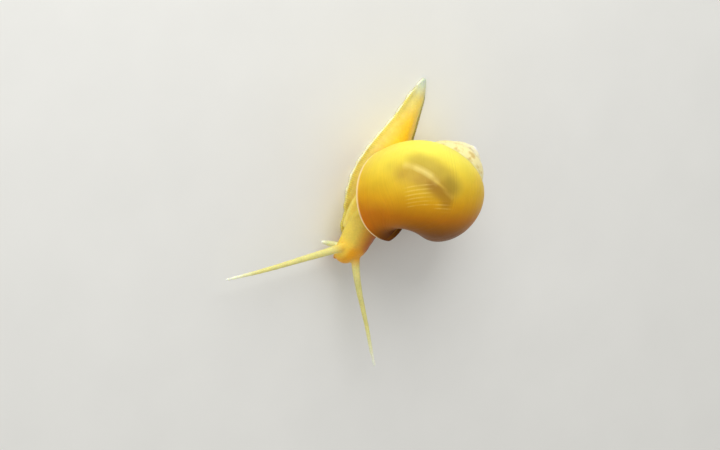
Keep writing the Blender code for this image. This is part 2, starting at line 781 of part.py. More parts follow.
def main():
    clear_scene()
    home = bpy.data.collections.new("apple_snail")
    bpy.context.scene.collection.children.link(home)
    holder = bpy.data.objects.new("apple_snail_sole", None)
    home.objects.link(holder)
    shell_finish = make_material("shell", (0.80, 0.55, 0.12), 0.3)
    flesh_finish = make_material("flesh", (0.86, 0.68, 0.30), 0.45)
    feeler_finish = make_material("feeler", (0.83, 0.80, 0.58), 0.45)
    horn_finish = make_material("horn", (0.45, 0.24, 0.08), 0.5)
    eye_finish = make_material("eye", (0.03, 0.02, 0.02), 0.15)
    settle(keep_largest(make_shell()), holder, shell_finish, home)
    settle(keep_largest(make_mantle()), holder, flesh_finish, home)
    for piece in make_body_pieces():
        is_feeler = piece.name.startswith(("tentacle", "palp"))
        settle(piece, holder, feeler_finish if is_feeler else flesh_finish, home)
    settle(keep_largest(make_door()), holder, horn_finish, home)
    for side in EYE_STALKS:
        settle(make_eye(side), holder, eye_finish, home)


main()
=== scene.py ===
import math

import bmesh
import bpy
import numpy as np
from mathutils import Matrix, Vector, noise


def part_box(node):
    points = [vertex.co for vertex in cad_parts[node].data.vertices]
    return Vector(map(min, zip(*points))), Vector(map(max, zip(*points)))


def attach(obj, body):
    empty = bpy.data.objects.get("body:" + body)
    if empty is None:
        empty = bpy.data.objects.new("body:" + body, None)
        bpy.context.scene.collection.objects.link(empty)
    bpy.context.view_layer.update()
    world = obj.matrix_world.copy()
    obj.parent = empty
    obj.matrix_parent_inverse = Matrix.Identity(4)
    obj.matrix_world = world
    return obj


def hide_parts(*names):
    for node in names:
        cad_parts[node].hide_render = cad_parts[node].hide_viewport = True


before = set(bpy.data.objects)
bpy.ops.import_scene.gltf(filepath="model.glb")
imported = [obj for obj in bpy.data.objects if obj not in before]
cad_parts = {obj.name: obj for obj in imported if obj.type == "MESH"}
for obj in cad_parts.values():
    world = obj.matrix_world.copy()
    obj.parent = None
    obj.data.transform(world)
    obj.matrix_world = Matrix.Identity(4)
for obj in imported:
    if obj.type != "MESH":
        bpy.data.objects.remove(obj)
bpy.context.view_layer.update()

mm = 0.001
fullTurn = 2 * math.pi


# Helpers for meshes
def readVectors(mesh, name):
    flat = np.empty(len(mesh.vertices) * 3)
    mesh.vertices.foreach_get(name, flat)
    return flat.reshape(-1, 3)


def writePoints(mesh, points):
    mesh.vertices.foreach_set("co", np.ascontiguousarray(points, dtype=np.float32).ravel())
    mesh.update()


def keepNumber(mesh, name, values):
    layer = mesh.attributes.new(name, "FLOAT", "POINT")
    layer.data.foreach_set("value", np.ascontiguousarray(values, dtype=np.float32))


def readNumber(mesh, name):
    values = np.empty(len(mesh.vertices))
    mesh.attributes[name].data.foreach_get("value", values)
    return values


def keepColour(mesh, name, colours):
    layer = mesh.attributes.new(name, "FLOAT_COLOR", "POINT")
    full = np.ones((len(colours), 4), dtype=np.float32)
    full[:, :3] = colours
    layer.data.foreach_set("color", full.ravel())


def readCurve(pairs, where):
    # smooth value between (place, value) pairs
    places, values = np.array(pairs, float).T
    order = np.arange(len(places))
    low, high = np.maximum(order - 1, 0), np.minimum(order + 1, len(places) - 1)
    slopes = (values[high] - values[low]) / (places[high] - places[low])
    where = np.clip(where, places[0], places[-1])
    span = np.clip(np.searchsorted(places, where, side="right") - 1, 0, len(places) - 2)
    width = places[span + 1] - places[span]
    t = (where - places[span]) / width
    return (
        values[span] * (2 * t**3 - 3 * t**2 + 1)
        + values[span + 1] * (3 * t**2 - 2 * t**3)
        + slopes[span] * width * (t**3 - 2 * t**2 + t)
        + slopes[span + 1] * width * (t**3 - t**2)
    )


def readRows(rows, where):
    # each column of some rows, read smoothly at places counted in rows
    return [readCurve(list(enumerate(column)), where) for column in zip(*rows)]


def ease(low, high, values):
    # 0 below low, 1 above high, smooth between
    t = np.clip((values - low) / (high - low), 0.0, 1.0)
    return t * t * (3 - 2 * t)


def bell(middle, reach, values):
    # 1 at the middle, less and less on both sides
    return np.exp(-(((values - middle) / reach) ** 2))


def atLeast(least, share):
    return least + (1 - least) * share


def nearLine(points, line, reach):
    # distance to a line, very large where it is out of reach, and the share of the line there
    apart = np.full(len(points), 99.0)
    share = np.zeros(len(points))
    inside = (points > line.min(0) - reach) & (points < line.max(0) + reach)
    close = np.flatnonzero(inside.all(1))
    batch = 4000  # points measured at a time
    for start in range(0, len(close), batch):
        some = close[start:start + batch]
        distance = np.linalg.norm(points[some, None] - line[None], axis=2)
        best = distance.argmin(1)
        apart[some] = distance[np.arange(len(some)), best]
        share[some] = best / (len(line) - 1)
    return apart, share


def blendColours(first, second, share):
    share = np.asarray(share)[:, None]
    return np.asarray(first) * (1 - share) + np.asarray(second) * share


def shareOf(spans, measures):
    # each span: the measure, where the share begins, where it is full, and the least that it is
    share = 1
    for name, begin, full, least in spans:
        share = share * atLeast(least, ease(begin, full, measures[name]))
    return share


def addLayers(colour, layers, measures):
    # each layer: a colour, how much of it shows, and the spans over which it shows
    for tint, share, *spans in layers:
        colour = blendColours(colour, tint, share * shareOf(spans, measures))
    return colour


def colourStops(stops, where):
    # colour between (place, colour) pairs
    places = [place for place, colour in stops]
    parts = [np.interp(where, places, [colour[part] for place, colour in stops]) for part in range(3)]
    return np.stack(parts, 1)


def srgb(red, green, blue):
    # from a colour in a picture, 0 to 255, to the light that a material reflects
    def linear(value):
        value /= 255
        return value / 12.92 if value <= 0.04045 else ((value + 0.055) / 1.055) ** 2.4
    return (linear(red), linear(green), linear(blue))


def addObject(name, data):
    piece = bpy.data.objects.new(name, data)
    bpy.context.scene.collection.objects.link(piece)
    return piece


def shadeSmooth(mesh):
    mesh.polygons.foreach_set("use_smooth", np.ones(len(mesh.polygons), dtype=bool))
    mesh.update()


def meshFrom(build, name):
    mesh = bpy.data.meshes.new(name)
    build.to_mesh(mesh)
    build.free()
    return mesh


def rollSheet(name, place, rows, sides, numbers=lambda along, around: {}):
    # a flat grid, bent into a tube by place(along, around), both 0 to 1, and closed at its seam and ends
    build = bmesh.new()
    bmesh.ops.create_grid(build, x_segments=rows, y_segments=sides, size=0.5)
    mesh = bpy.data.meshes.new(name)
    build.to_mesh(mesh)
    flat = readVectors(mesh, "co") + 0.5
    along, around = np.clip(flat[:, 0], 0, 1), np.clip(flat[:, 1], 0, 1)
    for title, values in numbers(along, around).items():
        keepNumber(mesh, title, values)
    writePoints(mesh, place(along, around))
    build.clear()
    build.from_mesh(mesh)
    bmesh.ops.remove_doubles(build, verts=build.verts, dist=1e-7)
    bmesh.ops.holes_fill(build, edges=build.edges, sides=0)
    bmesh.ops.recalc_face_normals(build, faces=build.faces)
    build.to_mesh(mesh)
    build.free()
    return mesh


# Helpers for materials
noiseSpan = (0.3, 0.7)  # most of a noise lies between these


def setInputs(tree, node, values):
    # a number or colour is set on its socket, and the output of another node is linked to it
    for name, value in values.items():
        socket = node.inputs[name]
        if isinstance(value, bpy.types.NodeSocket):
            tree.links.new(value, socket)
        else:
            socket.default_value = (*value, 1) if socket.type == "RGBA" else value


def addNode(tree, kind, output, values, **settings):
    node = tree.nodes.new("ShaderNode" + kind)
    for name, value in settings.items():
        setattr(node, name, value)
    setInputs(tree, node, values)
    return node.outputs[output]


def startMaterial(name):
    # the material, its nodes, its shader and places on the piece
    material = bpy.data.materials.new(name)
    material.use_nodes = True
    tree = material.node_tree
    return material, tree, tree.nodes["Principled BSDF"], addNode(tree, "TexCoord", "Object", {})


def addAttribute(tree, name, output="Fac"):
    return addNode(tree, "Attribute", output, {}, attribute_name=name)


def addNoise(tree, place, scale, detail):
    return addNode(tree, "TexNoise", "Fac", {"Vector": place, "Scale": scale, "Detail": detail})


def addBands(tree, along, scale, detail, roughness):
    # uneven bands along one measure
    values = {"W": along, "Scale": scale, "Detail": detail, "Roughness": roughness}
    return addNode(tree, "TexNoise", "Fac", values, noise_dimensions="1D")


def addRange(tree, value, span, low, high):
    values = {"Value": value, "From Min": span[0], "From Max": span[1], "To Min": low, "To Max": high}
    return addNode(tree, "MapRange", "Result", values)


def addTone(tree, place, scale, detail, low, high, span=noiseSpan):
    # a number that wanders between low and high all over the piece
    return addRange(tree, addNoise(tree, place, scale, detail), span, low, high)


def addMath(tree, operation, *values):
    return addNode(tree, "Math", "Value", dict(enumerate(values)), operation=operation)


def multiply(tree, first, *others):
    for value in others:
        first = addMath(tree, "MULTIPLY", first, value)
    return first


def addWave(tree, pitches):
    # rises and falls once for each pitch
    return addMath(tree, "SINE", multiply(tree, pitches, fullTurn))


def scaleColour(tree, colour, tone):
    return addNode(tree, "VectorMath", "Vector", {0: colour, "Scale": tone}, operation="SCALE")


def mixColour(tree, share, first, second):
    return addNode(tree, "Mix", "Result", {"Factor": share, "A": first, "B": second}, data_type="RGBA")


def addBump(tree, height, strength, depth, **under):
    values = {"Height": height, "Strength": strength, "Distance": depth * mm}
    return addNode(tree, "Bump", "Normal", {**values, **under})


# Camera: looks down on the snail from its right, turned so that the tail points up and to the right
view = {
    "lens": 300,
    "sensor": 36,
    "tilt": 35,  # degrees from straight down, towards the snail's right
    "turn": 25.46,  # degrees of the snail's length from upright in the picture
    "aim": (0.92, -13.99, 0.64),
    "distance": 1166.9,
}
tilt, turned = math.radians(view["tilt"]), math.radians(view["turn"])
toCamera = Vector((-math.sin(tilt), 0, math.cos(tilt)))
sideways = Vector((math.cos(tilt), 0, math.sin(tilt)))
pictureUp = Vector((0, math.cos(turned), 0)) - sideways * math.sin(turned)
pictureRight = pictureUp.cross(toCamera)


def makeCamera():
    camera = addObject("camera", bpy.data.cameras.new("camera"))
    camera.data.lens = view["lens"]
    camera.data.sensor_width = view["sensor"]
    camera.data.clip_start = 0.01
    camera.data.clip_end = 10
    place = Vector(view["aim"]) * mm + toCamera * view["distance"] * mm
    facing = Matrix((pictureRight, pictureUp, toCamera)).transposed().to_4x4()
    camera.matrix_world = Matrix.Translation(place) @ facing
    bpy.context.scene.camera = camera


makeCamera()
print("camera ready")


# Light and floor
studio = {
    "floorColour": srgb(236, 236, 232),
    "worldColour": (0.88, 0.87, 0.85),
    "worldStrength": 0.66,
    # direction in the picture (right, up, towards the camera), power and size
    "lamps": {"key": ((0.22, 1.0, 1.0), 0.78, 0.3), "fill": ((-1.0, -0.2, 0.9), 0.1, 0.3)},
    "reach": 0.32,
    "middle": (2, -6, 6),  # mm, where the lamps point
    "floorSize": 1.5,
    "grain": (60, 6, 0.97, 1.0),  # scale, detail, lowest and highest
    "floorFinish": {"Roughness": 0.7, "Specular IOR Level": 0.3},
}


def addLamp(name, direction, power, size):
    lamp = bpy.data.lights.new(name, "AREA")
    lamp.shape = "DISK"
    lamp.size = size
    lamp.energy = power
    holder = addObject(name, lamp)
    right, up, near = direction
    ray = (pictureRight * right + pictureUp * up + toCamera * near).normalized()
    middle = Vector(studio["middle"]) * mm
    facing = ray.to_track_quat("Z", "Y").to_matrix().to_4x4()
    holder.matrix_world = Matrix.Translation(middle + ray * studio["reach"]) @ facing


def makeStudio():
    build = bmesh.new()
    bmesh.ops.create_grid(build, x_segments=1, y_segments=1, size=studio["floorSize"])
    floor = addObject("floor", meshFrom(build, "floor"))
    plain, tree, shader, place = startMaterial("floorPaint")
    colour = scaleColour(tree, studio["floorColour"], addTone(tree, place, *studio["grain"]))
    setInputs(tree, shader, {"Base Color": colour, **studio["floorFinish"]})
    floor.data.materials.append(plain)
    world = bpy.data.worlds.new("studio")
    world.use_nodes = True
    sky = world.node_tree.nodes["Background"]
    sky.inputs["Color"].default_value = (*studio["worldColour"], 1)
    sky.inputs["Strength"].default_value = studio["worldStrength"]
    bpy.context.scene.world = world
    bpy.context.scene.view_settings.view_transform = "Standard"
    for name, sizes in studio["lamps"].items():
        addLamp(name, *sizes)


makeStudio()
print("studio ready")


# Shell: a tube rolled up along a spiral that grows towards the lip. Turns count back from the lip.
shell = {
    "scale": 15.93,  # mm, and the lengths below are shares of it unless they say mm
    "growth": 1.956,
    "bluntness": 0.1007,
    "offset": 0.294,
    "drop": 1.337,
    "halfWidth": 0.5432,
    "halfHeight": 0.743,
    "lean": 0.025,
    "lipSlant": -0.256,
    "slantReach": 1.5,
    "spireTurn": -1.9,  # the first whorls, before this turn, grow at their own rate
    "spireGrowth": 2.4,
    "domeShare": 0.5,  # how far the spire is flattened
    "firstTurn": -4.6,
    "nucleusTurns": 0.35,
    "nucleusLeast": 0.02,
    "navel": 0.035,
    "flare": 0.09,
    "flarePlace": 215,  # degrees round the whorl
    "flareReach": 32,
    "flareTurns": 0.13,
    "origin": (14.88, 11.06, 5.82),
    "axisTurn": 30.6,
    "axisDip": 12.4,
    "lipTurn": 151.5,
    "wall": 0.42,  # mm
    "bead": 0.07,  # mm that the rim is thicker
    "beadReach": 0.7,  # mm
    "beadInside": 0.2,
    "innerTurns": 0.3,
    "rows": 560,
    "sides": 132,
    "rowSpread": 0.25,  # more gives the first whorls more rows
    "outerShare": 0.86,
    "lipShare": 0.03,
    "steps": 1500,
    "runSteps": 2000,
    "pastLip": 0.05,  # turns
    "ridge": 0.022,  # mm, fine growth ridges
    "ridgePitch": 1.15,
    "pitchWaves": ((2.1, 0.9), (1.3, 0.37)),  # strength and pace
    "ridgeSwell": (0.6, 0.4, 0.53, 1.0),  # mean, swing, pace and start
    "rest": 0.05,  # mm, a few deeper growth rests
    "restWidth": 0.28,  # mm
    "rests": ((-1.1, 1.0), (-3.9, 0.7), (-9.5, 0.8), (-17.0, 0.6), (-31.0, 0.7)),  # place in mm, depth
}


def whorlSize(turn):
    late = np.maximum(turn, shell["spireTurn"])
    early = np.minimum(turn - shell["spireTurn"], 0.0)
    return shell["growth"]**late * np.exp(shell["bluntness"] * late**2) * shell["spireGrowth"]**early


def shellPose():
    return (
        Matrix.Translation(Vector(shell["origin"]) * mm)
        @ Matrix.Rotation(-math.radians(shell["axisTurn"]), 4, "Z")
        @ Matrix.Rotation(-math.radians(90 + shell["axisDip"]), 4, "X")
        @ Matrix.Rotation(math.radians(shell["lipTurn"]), 4, "Z")
        @ Matrix.Scale(shell["scale"] * mm, 4)
    )


def tubePoints(turn, around, swell, roundness=1.0):
    # swell, in millimetres, moves the wall outwards
    angle = turn * fullTurn
    slant = shell["lipSlant"] * np.clip((angle + shell["slantReach"]) / shell["slantReach"], 0, 1)
    thicker = swell / (shell["scale"] * whorlSize(turn))
    across = (shell["halfWidth"] * roundness + thicker) * np.cos(around)
    along = (shell["halfHeight"] * roundness + thicker) * np.sin(around)
    cosine, sine = math.cos(shell["lean"]), math.sin(shell["lean"])
    outward, upward = across * cosine - along * sine, across * sine + along * cosine
    slanted = angle - slant * upward / shell["halfHeight"]
    size = whorlSize(slanted / fullTurn)
    place, width = math.radians(shell["flarePlace"]), math.radians(shell["flareReach"])
    fading = np.maximum(1 - np.abs(turn) / shell["flareTurns"], 0)
    spread = shell["flare"] * bell(place, width, around) * fading
    reach = np.maximum(shell["offset"] + outward, shell["navel"] - spread - thicker) * size
    tight = np.maximum(whorlSize(shell["spireTurn"]) - size, 0)
    sink = shell["domeShare"] * (shell["drop"] - shell["halfHeight"]) * tight
    height = (upward - shell["drop"]) * size - sink
    local = np.stack([reach * np.cos(slanted), -reach * np.sin(slanted), height], 1)
    pose = np.array(shellPose())
    return local @ pose[:3, :3].T + pose[:3, 3]


def growthRun(turn):
    # millimetres along the widest line of the shell, measured back from the lip
    first = shell["firstTurn"] - shell["nucleusTurns"]
    steps = np.linspace(first, shell["pastLip"], shell["runSteps"])
    pace = fullTurn * (shell["offset"] + shell["halfWidth"]) * shell["scale"] * whorlSize(steps)
    run = np.cumsum(pace) * (steps[1] - steps[0])
    return np.interp(turn, steps, run - np.interp(0.0, steps, run))


def growthRelief(turn):
    # fine uneven ridges and a few deeper rests where growth paused
    run = growthRun(turn)
    phase = run * fullTurn / shell["ridgePitch"]
    for strength, pace in shell["pitchWaves"]:
        phase = phase + strength * np.sin(run * pace)
    mean, swing, pace, start = shell["ridgeSwell"]
    relief = shell["ridge"] * np.sin(phase) * (mean + swing * np.sin(run * pace + start))
    for place, depth in shell["rests"]:
        relief -= shell["rest"] * depth * bell(place, shell["restWidth"], run)
    return relief


def shellWay(along):
    # the sheet runs from the first whorl out to the lip, round its edge and a little way back inside
    first = shell["firstTurn"] - shell["nucleusTurns"]
    steps = np.linspace(first, 0.0, shell["steps"])
    pace = np.cumsum(whorlSize(steps) + shell["rowSpread"])
    pace = (pace - pace[0]) / (pace[-1] - pace[0])
    edge = np.clip((along - shell["outerShare"]) / shell["lipShare"], 0, 1)
    turnIn = shell["outerShare"] + shell["lipShare"]
    inside = np.clip((along - turnIn) / (1 - turnIn), 0, 1)
    turn = np.interp(along / shell["outerShare"], pace, steps)
    half = shell["wall"] / 2 / (fullTurn * shell["scale"] * (shell["offset"] + shell["halfWidth"]))
    turn = turn + half * np.sin(np.pi * edge) - shell["innerTurns"] * inside
    swell = -shell["wall"] * (1 - np.cos(np.pi * edge)) / 2
    nearLip = bell(0, shell["beadReach"], growthRun(turn)) * (1 - ease(0, shell["beadInside"], inside))
    swell = swell + shell["bead"] * nearLip * np.cos(np.pi * edge)
    swell = swell + growthRelief(turn) * (1 - edge) * (1 - nearLip)
    start = np.clip((turn - first) / shell["nucleusTurns"], 0, 1)
    roundness = np.sqrt(np.clip(1 - (1 - start) ** 2, 0.0, 1))
    return turn, swell, roundness


def makeShell():
    def place(along, around):
        turn, swell, roundness = shellWay(along)
        rounded = np.maximum(roundness, shell["nucleusLeast"])
        return tubePoints(turn, around * fullTurn, swell * roundness, rounded)

    def numbers(along, around):
        inside = ease(shell["outerShare"], shell["outerShare"] + shell["lipShare"], along)
        return {"turn": shellWay(along)[0], "inside": inside, "around": around}

    mesh = rollSheet("snailShell", place, shell["rows"], shell["sides"], numbers)
    shadeSmooth(mesh)
    return addObject("snailShell", mesh)


shellPaint = {
    "paleAndLitWay": (-0.33, 0.94, -0.1),  # the shell is palest towards this side, and brown at the other end: partly its own colour, partly painted light on that side and painted shade on the other
    "stops": (
        (-13.0, srgb(120, 70, 2)), (-9.5, srgb(186, 116, 6)), (-6.5, srgb(212, 156, 18)),
        (-3.5, srgb(218, 178, 38)), (0.0, srgb(236, 206, 66)), (5.0, srgb(255, 240, 96)),
    ),
    "cap": srgb(242, 230, 172),
    "capShare": 0.9,
    "capSpots": srgb(206, 172, 92),
    # painted highlight: whitish on the first whorls
    "apexHighlight": srgb(250, 243, 226),
    "ember": srgb(214, 124, 6),
    "emberShare": 0.6,
    "emberPlace": (272, 20),  # degrees round the whorl, and reach
    "inner": srgb(226, 160, 62),
    # painted shade: dark brown where the base of the whorl and the inside under the lip turn away from the
    # light
    "dark": srgb(96, 46, 4),
    "paintedShadeShares": (0.92, 0.9),  # painted shade on the base of the whorl, and under its lip
    "basePlace": (230, 19),
    "underLow": (168, 192),  # degrees where the painted shade under the lip begins and is full
    "underHigh": (256, 236),
    "lipFade": (5.0, 1.0),  # mm from the lip
    "rim": srgb(255, 226, 178),
    "rimShare": 0.9,
    "rimFade": (0.5, 0.12),
    "turns": {  # where each begins and is full
        "lastWhorl": (-0.6, -0.5),
        "cap": (-0.8, -1.15),
        "apexHighlight": (-1.9, -2.7),
        "ember": (-0.3, -0.12),
        "dark": (-0.36, -0.22),
        "lineSlant": (0.0, -0.2),
    },
    "softness": 0.6,  # light that passes under the surface, almost none where shade is painted on the shell
    "paintedShadeLoss": 0.97,
    "paintedShadeLossSpan": (0.1, 0.6),
    # marks seen through the shell, among them a painted highlight and painted shadow of an inner ridge:
    # places (turn, degrees round the whorl), half width and fade in mm
    "marks": (
        (((-0.15, 2), (-0.175, 4), (-0.205, 4), (-0.235, 3), (-0.26, 0)), 0.6, 3.3,
         srgb(168, 144, 56), 0.66),
        (((-0.1, 346), (-0.125, 343)), 0.2, 2.4, srgb(166, 146, 54), 0.3),
        # painted shadow beside the inner ridge
        (((-0.14, 342), (-0.17, 345), (-0.2, 346), (-0.24, 346)), 0.5, 2.8, srgb(174, 138, 46), 0.6),
        (((-0.19, 344), (-0.22, 346)), 0.3, 1.8, srgb(168, 128, 44), 0.3),
        (((-0.25, 0), (-0.266, 357)), 0.1, 1.9, srgb(144, 118, 30), 0.38),
        (((-0.225, 346.5), (-0.25, 346), (-0.275, 345), (-0.283, 342)), 0.4, 1.8,
         srgb(146, 100, 28), 0.58),
        # painted highlight along the inner ridge
        (((-0.13, 352.5), (-0.155, 354.2), (-0.178, 354.8), (-0.2, 354.3), (-0.222, 352.6)), 0.0, 1.1,
         srgb(248, 224, 128), 0.34),
        (((-0.158, 353.8), (-0.178, 354.4), (-0.2, 354)), 0.0, 0.9, srgb(250, 230, 140), 0.4),
        (((-0.2, 353.7), (-0.222, 352.2), (-0.245, 351), (-0.265, 350.2), (-0.288, 350.4)), 0.0, 0.4,
         srgb(236, 204, 90), 0.42),
    ),
    "markSteps": 60,
    "markReach": 6,  # mm
    "thread": srgb(250, 222, 120),
    "threadPitch": 6.6,
    # the slant counts degrees round the whorl, a lean with the turn and a little arch
    "threadLean": 338,
    "threadArch": 173,
    "threadMiddle": -0.2,
    # fields of threads: place at the first slant, its change with slant, half width, lowest and highest slant
    "firstSlant": 250,
    "threadFields": ((-0.217, 0.00117, 0.028, 234, 273), (-0.264, 0.0016, 0.017, 226, 241)),
    "threadEdge": (0.012, 0.008),  # turns over which a field fades, in and out of its half width
    "threadEnds": 5,
    # growth lines show most at these places: turns behind the gill and at the back, and mm at the lip
    "lineSlant": 0.12,  # turns that growth lines lean back on the older part of the last whorl
    "gillLines": (-0.272, 0.018),
    "gillLow": (335, 350),
    "gillHigh": (390, 410),
    "backLines": (-0.38, 0.03),
    "lipLines": (0.0, 2.2),
    "backShare": 0.7,
    "lipShare": 0.8,
    "lineLeast": 0.3,
}
shellFinish = {
    "lines": (4.2, 5, 0.6),  # scale, detail and roughness
    "lineTone": (-0.14, 0.12),
    "lineBump": (0.3, 0.03),  # strength, and depth in mm
    "clouds": (240, 4, 0.93, 1.05),  # scale, detail, lowest and highest, and span of the noise
    "spots": (620, 3, 0, 0.75, (0.5, 0.66)),
    "breaks": (420, 2, 0.35, 1.25, (0.35, 0.65)),
    "threadShare": 0.27,
    "roughness": (900, 3, 0.36, 0.48),
    "constants": {
        "Specular IOR Level": 0.14,
        "Subsurface Radius": (1.0, 0.85, 0.35),
        "Subsurface Scale": 0.0012,
    },
}


def nearMark(points, places):
    # distance in mm from each point to a line drawn on the whorl
    turns, degrees = np.array(places, float).T
    steps = np.linspace(0, len(places) - 1, shellPaint["markSteps"])
    turn = np.interp(steps, range(len(places)), turns)
    around = np.radians(np.interp(steps, range(len(places)), np.degrees(np.unwrap(np.radians(degrees)))))
    line = tubePoints(turn, around, np.zeros_like(turn))
    return nearLine(points, line, shellPaint["markReach"] * mm)[0] / mm


def threadsOver(turn, wide):
    # fine threads cross the last whorl aslant where the gill lies under it
    paint = shellPaint
    arch = paint["threadArch"] * (turn - paint["threadMiddle"]) ** 2
    aslant = wide + paint["threadLean"] * turn - arch
    inner, outer = paint["threadEdge"]
    ends = paint["threadEnds"]
    share = np.zeros_like(turn)
    for place, slope, half, lowest, highest in paint["threadFields"]:
        apart = np.abs(turn - place - slope * (aslant - paint["firstSlant"]))
        field = 1 - ease(half - inner, half + outer, apart)
        field = field * ease(lowest, lowest + ends, aslant) * ease(highest + ends, highest, aslant)
        share = np.maximum(share, field)
    return aslant / paint["threadPitch"], share


def linesOver(leaned, run, wide):
    paint = shellPaint
    gill = bell(*paint["gillLines"], leaned)
    strips = gill * ease(*paint["gillLow"], wide) * (1 - ease(*paint["gillHigh"], wide))
    strips = strips + paint["backShare"] * bell(*paint["backLines"], leaned)
    strips = strips + paint["lipShare"] * bell(*paint["lipLines"], run)
    return np.clip(atLeast(paint["lineLeast"], strips), 0, 1)


def paintShell(piece):
    paint = shellPaint
    mesh = piece.data
    points = readVectors(mesh, "co")
    turn, inside, around = (readNumber(mesh, name) for name in ("turn", "inside", "around"))
    degrees = around * 360
    run = growthRun(turn)
    begins = {name: ease(*span, turn) for name, span in paint["turns"].items()}
    isLip, isRim = (ease(*paint[name], np.abs(run)) for name in ("lipFade", "rimFade"))
    isBase = bell(*paint["basePlace"], degrees) * begins["dark"]
    isUnder = ease(*paint["underLow"], degrees) * ease(*paint["underHigh"], degrees)
    baseShadeShare, lipShare = paint["paintedShadeShares"]
    lastWhorl = begins["lastWhorl"] * (1 - inside)
    # pale to brown across the shell, partly its own colour and partly painted light and shade
    colour = colourStops(paint["stops"], points @ np.array(paint["paleAndLitWay"]) / mm)
    # marks seen through the shell, with a painted highlight and painted shadow of an inner ridge
    for places, width, fade, tint, share in paint["marks"]:
        isMark = 1 - ease(width, width + fade, nearMark(points, places))
        colour = blendColours(colour, tint, share * isMark * lastWhorl)
    layers = (
        ("cap", paint["capShare"] * begins["cap"]),
        # painted highlight on the first whorls
        ("apexHighlight", begins["apexHighlight"]),
        ("ember", paint["emberShare"] * bell(*paint["emberPlace"], degrees) * begins["ember"]),
        ("inner", inside),
        # painted shade on the base of the whorl and under the lip
        ("dark", np.maximum(baseShadeShare * isBase, lipShare * isUnder * isLip)),
        ("rim", paint["rimShare"] * isRim * (1 - isUnder)),
    )
    for name, share in layers:
        colour = blendColours(colour, paint[name], share)
    keepColour(mesh, "paint", colour)
    isPaintedShade = ease(*paint["paintedShadeLossSpan"], np.maximum(isBase, isUnder * isLip))
    keepNumber(mesh, "softness", paint["softness"] * (1 - paint["paintedShadeLoss"] * isPaintedShade))
    leaned = turn - paint["lineSlant"] * np.sin(np.radians(degrees)) * begins["lineSlant"]
    keepNumber(mesh, "growth", growthRun(leaned))
    wide = np.where(degrees > 180, degrees, degrees + 360)  # no jump on the widest line
    threads, threadShare = threadsOver(turn, wide)
    keepNumber(mesh, "threads", threads)
    keepNumber(mesh, "threadShare", threadShare * lastWhorl)
    keepNumber(mesh, "lineShare", linesOver(leaned, run, wide))
    keepNumber(mesh, "capShare", begins["cap"] * (1 - begins["apexHighlight"]))


def shellMaterial():
    material, tree, shader, place = startMaterial("shellHorn")
    finish = shellFinish
    # growth lines, uneven in pitch
    lines = addBands(tree, addAttribute(tree, "growth"), *finish["lines"])
    tone = addRange(tree, lines, noiseSpan, *finish["lineTone"])
    tone = addMath(tree, "ADD", multiply(tree, tone, addAttribute(tree, "lineShare")), 1.0)
    tone = multiply(tree, tone, addTone(tree, place, *finish["clouds"]))
    # ochre spots on the cap
    spots = multiply(tree, addTone(tree, place, *finish["spots"]), addAttribute(tree, "capShare"))
    colour = mixColour(tree, spots, addAttribute(tree, "paint", "Color"), shellPaint["capSpots"])
    # threads of the gill, pale, soft and broken
    threads = addRange(tree, addWave(tree, addAttribute(tree, "threads")), (0, 1), 0, finish["threadShare"])
    breaks = addTone(tree, place, *finish["breaks"])
    threads = multiply(tree, threads, addAttribute(tree, "threadShare"), breaks)
    colour = mixColour(tree, threads, colour, shellPaint["thread"])
    setInputs(tree, shader, {
        "Base Color": scaleColour(tree, colour, tone),
        "Normal": addBump(tree, lines, *finish["lineBump"]),
        "Roughness": addTone(tree, place, *finish["roughness"]),
        "Subsurface Weight": addAttribute(tree, "softness"),
        **finish["constants"],
    })
    return material


snailShell = makeShell()
paintShell(snailShell)
snailShell.data.materials.append(shellMaterial())
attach(snailShell, "root")
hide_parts("shell")
print("shell ready:", len(snailShell.data.polygons), "faces")


# Skin: foot, column, neck, head and feelers. Lengths in millimetres.
foot = {
    "tailReach": 17.3,
    "length": 34.8,
    "halfWidths": (
        (0.0, 0.3), (1.4, 1.05), (2.8, 1.7), (4.4, 2.2), (8.7, 3.1), (13.7, 4.4), (18.8, 5.4),
        (23.3, 5.75), (25.6, 5.5), (27.7, 4.95), (29.8, 4.15), (31.5, 3.65), (32.7, 3.3),
        (33.6, 2.85), (34.3, 2.2), (34.8, 1.3),
    ),
    "heights": (
        (0.0, 0.6), (3.0, 1.05), (8.5, 1.8), (13.5, 2.45), (18.5, 2.7), (24.5, 2.4), (30.5, 2.0),
        (33.4, 1.5), (34.8, 0.75),
    ),
    "middles": (
        (0.0, 0.15), (2.0, 0.35), (5.0, 0.45), (10.0, 0.4), (13.0, 0.2), (16.0, -0.1), (20.5, -0.35),
        (27.5, 0.0), (34.8, 0.4),
    ),
    "notch": (30.1, 0.35, 0.5),  # reach, depth and width
    "margin": 0.6,
    "brim": 0.9,
    "brimShare": 0.3,  # most of the half width that the brim takes
    "fullness": 1.15,
    "frill": 0.12,
    "frillWaves": 11,
    "frillPhase": 0.7,
    "inset": 0.985,
    "endRows": 0.09,  # draws the rows towards both ends
}
neck = (
    # middle of the section, half width, half height, lean in degrees
    (0.0, -8.5, 6.2, 3.4, 3.2, 0),
    (-0.8, -12.5, 4.9, 3.35, 3.1, 4),
    (-1.05, -15.5, 4.5, 3.25, 2.8, 4),
    (-1.3, -18.2, 4.5, 3.05, 2.4, 8),
    (-1.5, -19.5, 4.2, 2.7, 2.2, 20),
    (-1.45, -20.3, 3.6, 2.2, 1.9, 42),
    (-1.4, -20.7, 2.8, 1.8, 1.65, 62),
    (-1.4, -20.75, 2.0, 1.5, 1.2, 76),
    (-1.4, -20.75, 1.4, 1.2, 0.95, 84),
    (-1.4, -20.7, 1.0, 0.75, 0.6, 88),
)
